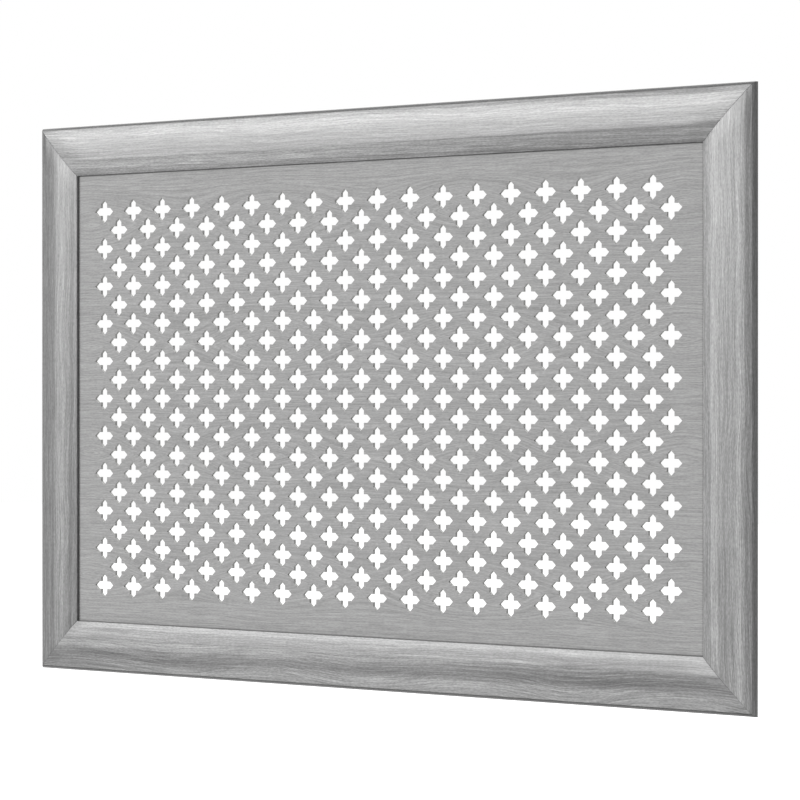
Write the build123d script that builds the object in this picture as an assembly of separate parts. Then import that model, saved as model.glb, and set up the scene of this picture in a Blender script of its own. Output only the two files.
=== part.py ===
"""Framed radiator screen: a perforated board in a mitred moulding, hung on four keyhole plates.

Millimetres. X runs along the screen to the right, Z is up and the front faces -Y. The back plane,
which lies against the wall, is Y = 0. The origin is the centre of the four keyhole entries.

A moulding's section is drawn in two coordinates: "inward" is the distance from the outer edge of
the frame, and "forward" is the height above the back plane.
"""
from build123d import *
from math import atan2, cos, degrees, hypot, radians, sin, sqrt, tan
import os

# Overall sizes
frame_width = 900.0
frame_height = 600.0

# Moulding section
rail_width = 55.0
ridge_height = 10.0  # the thickest place of the moulding
shoulder_run = 9.0  # width of the face's outermost stretch
shoulder_slope = 13.0  # degrees
outer_run = 13.5
outer_slope = 6.5
crest_run = 15.5  # the nearly flat stretch, which ends inward at the ridge
crest_slope = 1.7
inner_slope = 6.0  # of the stretch that falls inward from the ridge and takes up the rest
lip_run = 5.5
lip_slope = 10.0
side_radius = 9.0  # of the outer side's round, which leaves the back plane upright
arris_radius = 0.8  # of the edge between that round and the face
lip_radius = 0.6
foil_thickness = 0.4

# Rabbet and panel
rabbet_depth = 5.0
rabbet_width = 10.0
panel_thickness = 3.0
panel_edge_clearance = 0.5

# Perforation: columns half a pitch apart, every second one shifted by half a pitch
hole_pitch = 40.9
plain_border = 36.0  # least distance from the frame's opening to a hole's centre
hole_arm_width = 8.4
hole_side_reach = 8.55  # centre to where an arm's straight sides end
hole_point_angle = 45.0  # degrees between an arm's pointed sides and its axis

# V-shaped nails across the mitres
nail_places = (14.0, 33.0)  # inward distances of the nails' folds
nail_leg_length = 6.0
nail_leg_angle = 60.0  # degrees between a leg and the mitre line
nail_steel = 0.6
nail_depth = 5.0

# Framing points that hold the panel in the rabbet
point_length = 16.0
point_driven = 8.0
point_width = 6.0
point_steel = 0.5
point_tip = 3.0
long_side_points = 5
short_side_points = 3
point_end_distance = 125.0  # from a frame corner to the nearest point of a rail
point_hanger_distance = 45.0  # from a keyhole's entry to the nearest point of a stile

# Keyhole hangers
hanger_end_distance = 100.0  # from the frame's top or bottom edge to a keyhole's entry
hanger_inward = 22.5
plate_length = 48.0
plate_width = 20.0
plate_thickness = 1.5
plate_corner_radius = 4.0
plate_edge_clearance = 0.1
entry_radius = 4.5
slot_width = 4.5
slot_rise = 10.0  # entry centre to the centre of the slot's top end
pocket_depth = 4.5  # from the back plane, for the head of the wall's screw
pocket_side_clearance = 0.3
screw_spacing = 34.0

# Countersunk screws of the hangers
screw_radius = 1.5
screw_length = 7.0
screw_tip = 2.5
screw_head_radius = 2.9
screw_head_height = 1.3
recess_length = 3.4
recess_width = 0.7
recess_depth = 0.9

# Worked out from the sizes above
half_width = frame_width / 2
half_height = frame_height / 2
opening_width = frame_width - 2 * rail_width
opening_height = frame_height - 2 * rail_width
rabbet_inward = rail_width - rabbet_width
panel_inward = rabbet_inward + panel_edge_clearance
panel_back = rabbet_depth - panel_thickness
hanger_height = half_height - hanger_end_distance
cut_margin = 5.0  # how far a cutting solid runs past what it cuts

front = Vector(0, -1, 0)
signs = (-1, 1)

# Each side of the frame: its outward direction, half its length, and half the frame across it
sides = {
    "top_rail": (Vector(0, 0, 1), half_width, half_height),
    "bottom_rail": (Vector(0, 0, -1), half_width, half_height),
    "left_stile": (Vector(-1, 0, 0), half_height, half_width),
    "right_stile": (Vector(1, 0, 0), half_height, half_width),
}
# Each side's framing points: how many, and how far the outermost ones are from its middle
rail_points = (long_side_points, half_width - point_end_distance)
stile_points = (short_side_points, hanger_height - point_hanger_distance)
side_points = {
    "top_rail": rail_points,
    "bottom_rail": rail_points,
    "left_stile": stile_points,
    "right_stile": stile_points,
}
# Each hanger: the stile it is let into, and the place of its keyhole's entry on the back plane
hangers = {
    "upper_left_hanger": ("left_stile", Vector(hanger_inward - half_width, 0, hanger_height)),
    "upper_right_hanger": ("right_stile", Vector(half_width - hanger_inward, 0, hanger_height)),
    "lower_left_hanger": ("left_stile", Vector(hanger_inward - half_width, 0, -hanger_height)),
    "lower_right_hanger": ("right_stile", Vector(half_width - hanger_inward, 0, -hanger_height)),
}


def fall(run, slope):
    """Height lost over a run at a slope in degrees."""
    return run * tan(radians(slope))


def inset_corner(corner, angle_before, angle_after, inset):
    """Where two straight stretches meet once both have moved by inset to the right of their way."""
    reach = inset / cos(radians(angle_after - angle_before) / 2)
    towards = radians((angle_before + angle_after) / 2 - 90)
    return (corner[0] + reach * cos(towards), corner[1] + reach * sin(towards))


def round_side(shoulder, inset):
    """The outer side's round and its arris, from the foot to the face's outermost straight stretch.

    The arris is an arc about the point that lies its radius inside both the round and the straight
    stretch, which ends at the shoulder point given for the finished face.
    """
    slope = radians(shoulder_slope)
    # the stretch moved inward by the arris's radius, seen from the round's centre
    across = shoulder[0] + arris_radius * sin(slope) - side_radius
    up = shoulder[1] - arris_radius * cos(slope)
    along = across * cos(slope) + up * sin(slope)
    reach = along + sqrt(along**2 - across**2 - up**2 + (side_radius - arris_radius) ** 2)
    across -= reach * cos(slope)
    up -= reach * sin(slope)
    turn = degrees(atan2(up, across))
    middle = (side_radius + across, up)
    side = CenterArc((side_radius, 0.0), side_radius - inset, 180.0, turn - 180.0)
    arris = CenterArc(middle, arris_radius - inset, turn, 90.0 + shoulder_slope - turn)
    return side.edges() + arris.edges(), arris @ 1


def section_outline(inset):
    """Edges of the moulding's face, from the foot of the outer side over the crest to the lip's foot.

    The face is made of straight stretches, with a round outer side and a rounded lip. With an
    inset, all of it lies that far inside the finished face, as the core under its foil does.
    """
    ridge = (shoulder_run + outer_run + crest_run, ridge_height)
    crest_edge = (ridge[0] - crest_run, ridge_height - fall(crest_run, crest_slope))
    shoulder = (shoulder_run, crest_edge[1] - fall(outer_run, outer_slope))
    inner_run = rail_width - lip_run - ridge[0]
    lip_break = (rail_width - lip_run, ridge_height - fall(inner_run, inner_slope))
    lip = (rail_width, lip_break[1] - fall(lip_run, lip_slope))
    corners = (shoulder, crest_edge, ridge, lip_break, lip)
    angles = (shoulder_slope, outer_slope, crest_slope, -inner_slope, -lip_slope, -90.0)
    moved = []
    for corner, before, after in zip(corners, angles, angles[1:]):
        moved.append(inset_corner(corner, before, after, inset))
    lip_foot = (rail_width - inset, rabbet_depth)
    outer, face_start = round_side(shoulder, inset)
    middle = Polyline(face_start, *moved[:4])
    inner = FilletPolyline(moved[3], moved[4], lip_foot, radius=lip_radius - inset)
    return outer + middle.edges() + inner.edges()


def core_section():
    """Face of the fibreboard body: the inset outline, closed by the rabbet and the back."""
    closing = Polyline(
        (rail_width - foil_thickness, rabbet_depth),
        (rabbet_inward, rabbet_depth),
        (rabbet_inward, 0.0),
        (foil_thickness, 0.0),
    )
    return make_face(section_outline(foil_thickness) + closing.edges())


def foil_section():
    """Face of the wrapped foil: the strip between the finished outline and the inset one."""
    outer_end = Line((0.0, 0.0), (foil_thickness, 0.0))
    lip_end = Line((rail_width - foil_thickness, rabbet_depth), (rail_width, rabbet_depth))
    strip = section_outline(0.0) + section_outline(foil_thickness)
    return make_face(strip + outer_end.edges() + lip_end.edges())


def mitred_block(outward, half_length, half_across):
    """Block round one side of the frame, which stops at the side's two mitre planes."""
    along = outward.cross(front)
    outer = outward * (half_across + cut_margin)
    outer_end = along * (half_length + cut_margin)
    beyond = rail_width + cut_margin
    inner = outward * (half_across - beyond)
    inner_end = along * (half_length - beyond)
    start = front * -cut_margin
    corners = [outer - outer_end, outer + outer_end, inner + inner_end, inner - inner_end]
    plan = Face(Wire.make_polygon([corner + start for corner in corners]))
    return extrude(plan, amount=ridge_height + 2 * cut_margin, dir=front)


def frame_side(section, outward, half_length, half_across):
    """One side of the frame with the given section, cut at its mitres."""
    inward = outward * -1
    across = Plane(origin=outward * half_across, x_dir=inward, z_dir=inward.cross(front))
    stretch = extrude(across * section, amount=half_length + cut_margin, both=True)
    return stretch & mitred_block(outward, half_length, half_across)


def cross_hole(across, up):
    """Wire of one pointed four-armed hole with its centre at a place on the panel."""
    arm = hole_arm_width / 2
    point = hole_side_reach + arm / tan(radians(hole_point_angle))
    quarter = [(point, 0.0), (hole_side_reach, arm), (arm, arm), (arm, hole_side_reach)]
    places = []
    for turn in range(4):
        for x, z in quarter:
            swing = radians(90 * turn)
            right = x * cos(swing) - z * sin(swing)
            rise = x * sin(swing) + z * cos(swing)
            places.append(Vector(across + right, -panel_back, up + rise))
    return Wire.make_polygon(places)


def perforated_panel():
    """Thin board in the rabbet, with as many columns and rows of holes as its plain border leaves."""
    spare_width = opening_width - 2 * plain_border
    spare_height = opening_height - 2 * plain_border
    columns = int(spare_width / (hole_pitch / 2)) + 1
    full_rows = int(spare_height / hole_pitch) + 1
    holes = []
    for column in range(columns):
        across = (column - (columns - 1) / 2) * hole_pitch / 2
        rows = full_rows - column % 2
        for row in range(rows):
            holes.append(cross_hole(across, (row - (rows - 1) / 2) * hole_pitch))
    half_panel_width = half_width - panel_inward
    half_panel_height = half_height - panel_inward
    corners = [
        Vector(half_panel_width * right, -panel_back, half_panel_height * rise)
        for right, rise in ((-1, -1), (1, -1), (1, 1), (-1, 1))
    ]
    face = Face(Wire.make_polygon(corners), holes)
    return extrude(face, amount=panel_thickness, dir=front)


def corner_nail(right, rise, place):
    """One V-shaped nail whose fold lies on the mitre line, driven in flush with the back."""
    towards_middle = Vector(-right, 0, -rise).normalized()
    fold = Vector(right * (half_width - place), 0, rise * (half_height - place))
    legs = []
    for side in signs:
        leg = towards_middle.rotate(Axis.Y, side * nail_leg_angle)
        inner_face = towards_middle.rotate(Axis.Y, side * (nail_leg_angle - 90))
        legs.append((leg * nail_leg_length, inner_face * nail_steel))
    # the steel's inner faces meet further along the mitre line than its outer faces
    inner_fold = fold + towards_middle * (nail_steel / sin(radians(nail_leg_angle)))
    first, second = legs
    plan = [
        fold + first[0],
        fold,
        fold + second[0],
        fold + second[0] + second[1],
        inner_fold,
        fold + first[0] + first[1],
    ]
    return extrude(Face(Wire.make_polygon(plan)), amount=nail_depth, dir=front)


def corner_nails():
    """The nails of all four mitres."""
    return [
        corner_nail(right, rise, place)
        for right in signs
        for rise in signs
        for place in nail_places
    ]


def framing_point(outward, half_across, along_place):
    """One flat steel point, driven into the rabbet's wall and lying on the panel's back."""
    along = outward.cross(front)
    base = outward * (half_across - rabbet_inward) + along * along_place
    base = base + front * panel_back
    outline = []
    for reach, aside in (
        (point_driven, 0.0),
        (point_driven - point_tip, point_width / 2),
        (point_driven - point_length, point_width / 2),
        (point_driven - point_length, -point_width / 2),
        (point_driven - point_tip, -point_width / 2),
    ):
        outline.append(base + outward * reach + along * aside)
    return extrude(Face(Wire.make_polygon(outline)), amount=point_steel, dir=front * -1)


def panel_points(side):
    """The framing points of one side, evenly spaced between its outermost two."""
    outward, _, half_across = sides[side]
    count, outermost = side_points[side]
    return [
        framing_point(outward, half_across, outermost * (2 * step / (count - 1) - 1))
        for step in range(count)
    ]


def back_plane(place):
    """Plane on the back of the frame at a place, with x to the right, y up and z towards the front."""
    return Plane(origin=place, x_dir=Vector(1, 0, 0), z_dir=front)


def plate_outline(clearance):
    """Rounded outline of a hanger plate, drawn about its keyhole's entry."""
    width = plate_width + 2 * clearance
    length = plate_length + 2 * clearance
    outline = RectangleRounded(width, length, plate_corner_radius + clearance)
    return Pos(0, slot_rise / 2) * outline


def slide_outline(radius):
    """Outline of a round thing of a radius as it slides from the keyhole's entry to its top end."""
    run = Pos(0, slot_rise / 2) * Rectangle(2 * radius, slot_rise)
    return run + Circle(radius) + Pos(0, slot_rise) * Circle(radius)


def screw_bodies(place):
    """A hanger's two screws without their cross recesses, as the holes that they make."""
    outline = Polyline(
        (0.0, 0.0),
        (screw_head_radius, 0.0),
        (screw_radius, screw_head_height),
        (screw_radius, screw_length - screw_tip),
        (0.0, screw_length),
        close=True,
    )
    body = revolve(Plane.XZ * make_face(outline.edges()), Axis.Z)
    middle = slot_rise / 2
    return [back_plane(place) * Pos(0, middle + end * screw_spacing / 2) * body for end in signs]


def hanger_screws(place):
    """A hanger's two screws with a cross recess in each head."""
    middle = slot_rise / 2
    sunk = Pos(0, 0, recess_depth / 2)
    cross = sunk * (
        Box(recess_length, recess_width, recess_depth)
        + Box(recess_width, recess_length, recess_depth)
    )
    screws = []
    for end, body in zip(signs, screw_bodies(place)):
        recess = back_plane(place) * Pos(0, middle + end * screw_spacing / 2) * cross
        screws.append(body - recess)
    return screws


def hanger_plate(place):
    """Keyhole plate, flush with the back of its stile and countersunk for its two screws."""
    keyhole = slide_outline(slot_width / 2) + Circle(entry_radius)
    plate = back_plane(place) * extrude(plate_outline(0.0) - keyhole, amount=plate_thickness)
    return plate - screw_bodies(place)


def hanger_cavity(place):
    """What a stile loses to a hanger: the plate's recess and the pocket for the wall's screw head."""
    recess = extrude(plate_outline(plate_edge_clearance), amount=plate_thickness)
    pocket = extrude(slide_outline(entry_radius + pocket_side_clearance), amount=pocket_depth)
    return back_plane(place) * (recess + pocket)


def side_core(side):
    """Fibreboard body of one side, with the holes of all that is let or driven into it."""
    core = frame_side(core_section(), *sides[side])
    cuts = corner_nails() + panel_points(side)
    for stile, place in hangers.values():
        if stile == side:
            cuts += [hanger_cavity(place)] + screw_bodies(place)
    return core - cuts


def write(node, shapes):
    """Write one node's solids to its STEP file."""
    solids = [solid for shape in shapes for solid in shape.solids()]
    export_step(Compound(children=solids) if len(solids) > 1 else solids[0], f"parts/{node}.step")


os.makedirs("parts", exist_ok=True)
for side, measures in sides.items():
    write(f"{side}_core", [side_core(side)])
    write(f"{side}_foil", [frame_side(foil_section(), *measures)])
write("perforated_panel", [perforated_panel()])
write("corner_v_nails", corner_nails())
write("panel_points", [point for side in sides for point in panel_points(side)])
all_screws = []
for hanger, (stile, place) in hangers.items():
    write(hanger, [hanger_plate(place)])
    all_screws += hanger_screws(place)
write("hanger_screws", all_screws)
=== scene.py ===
"""Finish of a framed radiator screen: printed film on its moulding, grain on its perforated board.

Metres. X runs along the screen to the right, Z is up and the front faces -Y. The back plane is
Y = 0, and the origin is the centre of the four keyhole entries. The construction is loaded first
and stays as it is: the film and the board are made here around it, the rest gets its materials.
"""
from math import atan2, cos, pi, prod, radians, sin, sqrt, tan
from typing import NamedTuple

import bmesh
import bpy
import numpy as np
from bpy.props import FloatProperty, FloatVectorProperty, IntProperty, PointerProperty
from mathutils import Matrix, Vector


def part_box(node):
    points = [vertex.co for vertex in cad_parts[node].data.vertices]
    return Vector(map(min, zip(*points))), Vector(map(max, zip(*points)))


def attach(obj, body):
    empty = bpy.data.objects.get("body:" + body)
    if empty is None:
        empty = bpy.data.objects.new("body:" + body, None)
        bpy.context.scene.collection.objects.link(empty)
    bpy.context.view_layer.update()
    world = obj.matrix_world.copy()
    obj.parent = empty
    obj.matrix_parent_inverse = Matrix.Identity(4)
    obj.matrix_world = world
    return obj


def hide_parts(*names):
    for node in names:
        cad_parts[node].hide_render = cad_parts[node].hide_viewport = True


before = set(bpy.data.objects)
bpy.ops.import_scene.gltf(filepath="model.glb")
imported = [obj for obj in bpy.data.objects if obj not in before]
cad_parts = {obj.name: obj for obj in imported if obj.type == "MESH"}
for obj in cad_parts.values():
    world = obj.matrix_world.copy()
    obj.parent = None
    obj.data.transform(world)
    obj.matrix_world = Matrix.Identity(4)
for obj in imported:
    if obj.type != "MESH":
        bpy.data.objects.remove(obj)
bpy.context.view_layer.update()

bl_info = {
    "name": "Radiator Screen Finish",
    "version": (1, 0, 0),
    "blender": (4, 5, 0),
    "location": "View3D > Sidebar > Radiator Screen",
    "description": "Makes the film, the perforated board and the finishes of a radiator screen",
    "category": "Object",
}

BODY = "root"
MM = 0.001
HANGERS = ("upper_left_hanger", "upper_right_hanger", "lower_left_hanger", "lower_right_hanger")

# Sizes that the construction gives
TOP_LOW, TOP_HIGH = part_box("top_rail_foil")
BOARD_LOW, BOARD_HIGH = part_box("perforated_panel")
HALF_WIDTH = TOP_HIGH.x
HALF_HEIGHT = TOP_HIGH.z
RAIL_WIDTH = TOP_HIGH.z - TOP_LOW.z
RIDGE_HEIGHT = -TOP_LOW.y
BOARD_FRONT = BOARD_LOW.y
BOARD_BACK = BOARD_HIGH.y
FRONT = np.array([0.0, -1.0, 0.0])

# Each side of the frame: its outward direction, half its length and half the frame across it
SIDES = {
    "top_rail": ((0.0, 0.0, 1.0), HALF_WIDTH, HALF_HEIGHT),
    "bottom_rail": ((0.0, 0.0, -1.0), HALF_WIDTH, HALF_HEIGHT),
    "left_stile": ((-1.0, 0.0, 0.0), HALF_HEIGHT, HALF_WIDTH),
    "right_stile": ((1.0, 0.0, 0.0), HALF_HEIGHT, HALF_WIDTH),
}

# Mesh detail
SIDE_POINTS = 10  # on the round of the outer side
ARRIS_POINTS = 6
LIP_POINTS = 7
JOINT_STATIONS = 4  # cross sections within the eased edge of a mitre
SHARP_ANGLE = radians(40)
SAME_PLACE = 1e-7  # points nearer than this are one


class Arches(NamedTuple):
    """The waves of a print, in metres."""

    place: float  # of one wave, from the side's middle
    repeat: float
    outer_reach: float  # how far outward they reach at the outer edge
    inner_reach: float  # and at the lip


class Print(NamedTuple):
    """The print on one side's film, with tones as factors."""

    roll_place: float  # where along the roll it was cut (m)
    drift: float  # how far the bands move outward on each metre along the side (m)
    wandering: float  # how far they wander (m)
    painted_edge_shade: float  # painted shade of the outer side's round, as a tone
    bands: tuple  # inner edge (mm from the outer edge) and tone of each, print and also painted light and shade of the face's stretches
    arches: Arches
    patches: tuple  # place along (m from the middle) and across (mm), half sizes (m, mm), tone


PRINTS = {
    "top_rail": Print(
        roll_place=0.0,
        drift=-0.008,
        wandering=0.005,
        painted_edge_shade=0.47,
        bands=((5, 0.98), (17, 1.36), (22, 1.08), (32, 0.95), (38, 0.74), (50, 1.06), (60, 0.85)),
        arches=Arches(-0.005, 0.25, 0.005, 0.0),
        patches=(
            (0.29, 50.0, 0.26, 11.0, 0.75), (-0.27, 47.0, 0.30, 8.0, 1.22),
            (0.33, 8.0, 0.26, 8.0, 0.87), (0.29, 37.0, 0.13, 7.0, 0.89),
            (0.418, 29.0, 0.024, 9.0, 1.34), (-0.420, 33.0, 0.030, 16.0, 1.25),
        ),
    ),
    "bottom_rail": Print(
        roll_place=3.1,
        drift=0.012,
        wandering=0.005,
        painted_edge_shade=0.22,
        bands=(
            (8, 1.16), (15, 1.22), (19, 1.02), (26.5, 0.77), (31, 0.93), (39, 1.17), (45, 0.88),
            (60, 1.06),
        ),
        arches=Arches(0.005, 0.25, 0.012, 0.0),
        patches=(
            (-0.37, 23.0, 0.15, 8.0, 0.76), (-0.37, 38.0, 0.20, 9.0, 0.80),
            (0.23, 14.0, 0.09, 7.0, 0.76), (0.43, 8.0, 0.13, 10.0, 0.66),
            (0.37, 25.0, 0.09, 6.0, 0.78), (0.24, 35.0, 0.18, 6.0, 1.22),
            (-0.23, 30.0, 0.13, 20.0, 0.88), (-0.33, 41.0, 0.12, 4.0, 0.84),
            (0.34, 46.0, 0.10, 4.0, 0.88), (-0.43, 20.0, 0.025, 7.0, 0.84),
            (-0.44, 5.0, 0.030, 4.0, 0.80), (0.44, 16.0, 0.030, 16.0, 0.80),
            (0.14, 29.0, 0.06, 4.0, 1.10), (-0.19, 30.0, 0.04, 10.0, 0.88),
            (0.30, 9.0, 0.045, 8.0, 0.78), (-0.11, 13.0, 0.07, 8.0, 1.10),
            (0.11, 23.0, 0.06, 10.0, 1.10), (0.30, 37.0, 0.16, 3.0, 1.12),
        ),
    ),
    "left_stile": Print(
        roll_place=6.7,
        drift=-0.008,
        wandering=0.005,
        painted_edge_shade=1.0,
        bands=((13, 0.64), (24, 0.7), (27, 0.98), (38, 1.13), (45, 0.96), (50, 0.7), (60, 0.92)),
        arches=Arches(-0.001, 0.15, 0.0, -0.005),
        patches=(
            (-0.22, 25.0, 0.14, 11.0, 0.84), (-0.17, 49.0, 0.11, 9.0, 0.85),
            (0.30, 26.0, 0.055, 32.0, 0.70), (0.20, 53.0, 0.12, 5.0, 1.22),
            (0.12, 5.0, 0.25, 6.0, 1.13), (0.282, 28.0, 0.028, 18.0, 0.74),
            (-0.10, 37.0, 0.10, 4.0, 1.10),
        ),
    ),
    "right_stile": Print(
        roll_place=9.4,
        drift=0.002,
        wandering=0.005,
        painted_edge_shade=1.0,
        bands=(
            (10, 0.82), (13.5, 1.03), (18.5, 1.34), (27, 1.08), (32, 0.98), (38, 1.1), (46, 1.25),
            (60, 0.92),
        ),
        arches=Arches(0.001, 0.15, 0.004, 0.0),
        patches=(
            (-0.30, 10.0, 0.07, 11.0, 0.80), (0.26, 30.0, 0.11, 12.0, 0.84),
            (-0.290, 14.0, 0.028, 13.0, 0.68), (-0.16, 32.0, 0.15, 6.0, 1.09),
            (0.16, 35.0, 0.09, 6.0, 0.90),
        ),
    ),
}
BAND_BLEND = 0.4  # half width of the change from one band to the next (mm)
PATCH_FEATHER = 1.2  # how much the grain pushes a patch's edge
PATCH_EDGE = (0.6, 1.6)  # squared distance, in half sizes, over which a patch fades

# Noises of a print: size along and across the grain (m), detail, roughness and shift. The tones
# are those that a noise, or the saw of the rings, gives: from and to which value, and the tones
# there
FILM_WANDER = (0.12, 0.05, 1.0, 0.5, 3.0)
FILM_RIPPLE = (0.045, 0.018, 1.0, 0.5, 5.0)
FILM_GRAIN = {
    "drift": (0.4, 0.012, 1.0, 0.5, 7.0),
    "streaks": (0.16, 0.0021, 2.0, 0.55, 11.0),
    "lines": (0.06, 0.0009, 1.0, 0.5, 13.0),
    "fibres": (0.018, 0.0009, 1.0, 0.5, 17.0),
    "dashes": (0.004, 0.0009, 1.0, 0.5, 23.0),
    "pores": (0.005, 0.0004, 0.0, 0.5, 29.0),
}
FILM_TONES = {
    "rings": (0.0, 1.0, 1.05, 0.94),
    "streaks": (0.38, 0.62, 0.93, 1.07),
    "lines": (0.4, 0.6, 0.86, 1.14),
    "fibres": (0.36, 0.64, 0.89, 1.11),
    "dashes": (0.36, 0.64, 0.88, 1.12),
    "pores": (0.22, 0.32, 0.84, 1.0),
}
BOARD_WAVER = (0.09, 0.03, 2.0, 0.5, 7.0)
BOARD_FIGURE = {
    "drift": (0.2, 0.012, 1.0, 0.5, 5.0),
    "strength": (0.15, 0.008, 1.0, 0.5, 21.0),
    "streaks": (0.12, 0.0045, 2.0, 0.55, 9.0),
    "lines": (0.07, 0.0008, 1.0, 0.5, 11.0),
}
BOARD_GRAIN = {
    "fibres": (0.018, 0.0008, 1.0, 0.5, 13.0),
    "dashes": (0.004, 0.0008, 1.0, 0.5, 17.0),
}
BOARD_TONES = {
    "streaks": (0.38, 0.62, 0.98, 1.02),
    "lines": (0.4, 0.6, 0.92, 1.08),
    "fibres": (0.36, 0.64, 0.92, 1.08),
    "dashes": (0.36, 0.64, 0.93, 1.07),
}
BOARD_RINGS = (0.0, 1.0, 0.045, -0.06)  # what the rings add to the tone
RING_STRENGTH = (0.35, 0.65, 0.4, 1.3)

# Heights of the rows of ovals in the board's print (m)
OVALS = (0.190, 0.057, -0.060, -0.193)
# Long bands of the board's print: distance down from the start of a repeat and half width (mm),
# and the tone
FIGURE_BANDS = (
    (10, 7.0, 1.04), (22, 4.0, 1.02), (29, 2.5, 0.975), (38, 6.0, 1.025), (48.5, 4.0, 0.94),
    (74, 9.0, 1.02), (106, 5.0, 1.04), (116, 2.5, 0.975), (122, 3.0, 1.02), (132, 4.0, 0.965),
    (139, 3.0, 1.025), (147.5, 6.0, 0.94), (171.5, 6.0, 0.965), (232.5, 3.0, 0.98),
)
# Light and dark spots near the ovals' points: distance from an oval's middle (m), distance down
# from the start of a repeat (mm), half length (m), half width (mm) and the tone
FIGURE_SPOTS = (
    (0.098, 86.5, 0.010, 6.0, 0.90), (0.086, 85.5, 0.006, 5.0, 1.06),
    (0.073, 202.0, 0.005, 8.0, 1.06), (0.087, 203.0, 0.008, 8.0, 0.94),
    (0.122, 202.0, 0.022, 7.0, 1.05),
)

# Bare fibreboard and steel
CLOUDING = (0.3, 0.7)  # values of a noise over which a tone changes
NOISE_DETAIL = 3.0
FIBRE_ROUGHNESS = 0.8
FIBRE_GLOSS = 0.25
FIBRE_BUMP = 0.05  # depth as a share of the grain's size
MOTTLE_SCALE = 0.06  # of the wide mottling, as a share of the fine one's
MOTTLE_DETAIL = 2.0
MOTTLE_SHARE = 1 / 3  # of the contrast
METAL_TONES = (0.9, 1.08)
METAL_DULLING = (0.06, -0.05)  # added to the roughness
METAL_BUMP = 0.01  # depth as a share of the grain's size
WHITE = (1.0, 1.0, 1.0, 1.0)


def length(name, description, default):
    """A length property, in metres."""
    return FloatProperty(
        name=name, description=description, default=default, unit="LENGTH", precision=5
    )


def angle(name, description, degrees):
    """An angle property with its default in degrees."""
    return FloatProperty(
        name=name, description=description, default=radians(degrees), subtype="ANGLE"
    )


def number(name, description, default):
    """A plain factor."""
    return FloatProperty(name=name, description=description, default=default, precision=4)


def colour(name, description, default):
    """A colour property, in linear values."""
    return FloatVectorProperty(
        name=name,
        description=description,
        default=default,
        subtype="COLOR",
        size=3,
        min=0.0,
        max=1.0,
    )


class MouldingSettings(bpy.types.PropertyGroup):
    """Section of the moulding and the print on its film."""

    shoulder_run: length("Shoulder run", "Width of the face's outermost stretch", 9.0 * MM)
    outer_run: length("Outer run", "Width of the stretch inside the shoulder", 13.5 * MM)
    crest_run: length("Crest run", "Width of the nearly flat stretch up to the ridge", 15.5 * MM)
    lip_run: length("Lip run", "Width of the innermost stretch", 5.5 * MM)
    shoulder_slope: angle("Shoulder slope", "Rise of the outermost stretch", 13.0)
    outer_slope: angle("Outer slope", "Rise of the stretch inside the shoulder", 6.5)
    crest_slope: angle("Crest slope", "Rise of the nearly flat stretch", 1.7)
    inner_slope: angle("Inner slope", "Fall from the ridge to the lip's stretch", 6.0)
    lip_slope: angle("Lip slope", "Fall of the innermost stretch", 10.0)
    side_radius: length("Side radius", "Round of the outer side", 9.0 * MM)
    arris_radius: length("Arris radius", "Rounding between the outer side and the face", 0.8 * MM)
    lip_radius: length("Lip radius", "Rounding of the edge at the board", 0.6 * MM)
    lip_foot: length("Lip foot", "Height at which the film ends on the board", 5.0 * MM)
    easing: length("Break easing", "Half width of the turn between two stretches", 0.7 * MM)
    thickness: length("Film thickness", "Thickness of the wrapped film", 0.4 * MM)
    face_step: length("Face step", "Distance between two lines of the face's grid", 0.6 * MM)
    stations: IntProperty(name="Stations", description="Cross sections along a side", default=24)
    band_wave: number("Band wave", "Share of the arches that the broad bands follow", 0.2)
    joint_width: length("Joint width", "Width of the eased edge at a mitre", 0.45 * MM)
    joint_depth: length("Joint depth", "Depth of the eased edge at a mitre", 0.22 * MM)
    joint_tone: number("Joint tone", "Tone of the film at a mitre", 0.68)
    ripple: length("Ripple", "How far the grain's small waves reach", 2.0 * MM)
    ring: length("Ring", "Distance between two rings", 4.5 * MM)
    ring_drift: number("Ring drift", "Rings that the drifting noise shifts the others by", 3.0)
    grain_depth: length("Grain depth", "Depth of the grain's bump", 0.02 * MM)
    # Painted shade on the film's outer side: where it starts to fade and where it ends
    edge_shade_start: length("Edge start", "Where the outer side's tone begins to fade", 2.9 * MM)
    edge_shade_end: length("Edge end", "Where the outer side's tone ends", 3.9 * MM)
    tint: colour("Tint", "Middle tone of the print", (0.27, 0.27, 0.27))
    roughness: number("Roughness", "Roughness of the film", 0.27)
    gloss: number("Gloss", "Specular level of the film", 0.4)


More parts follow.
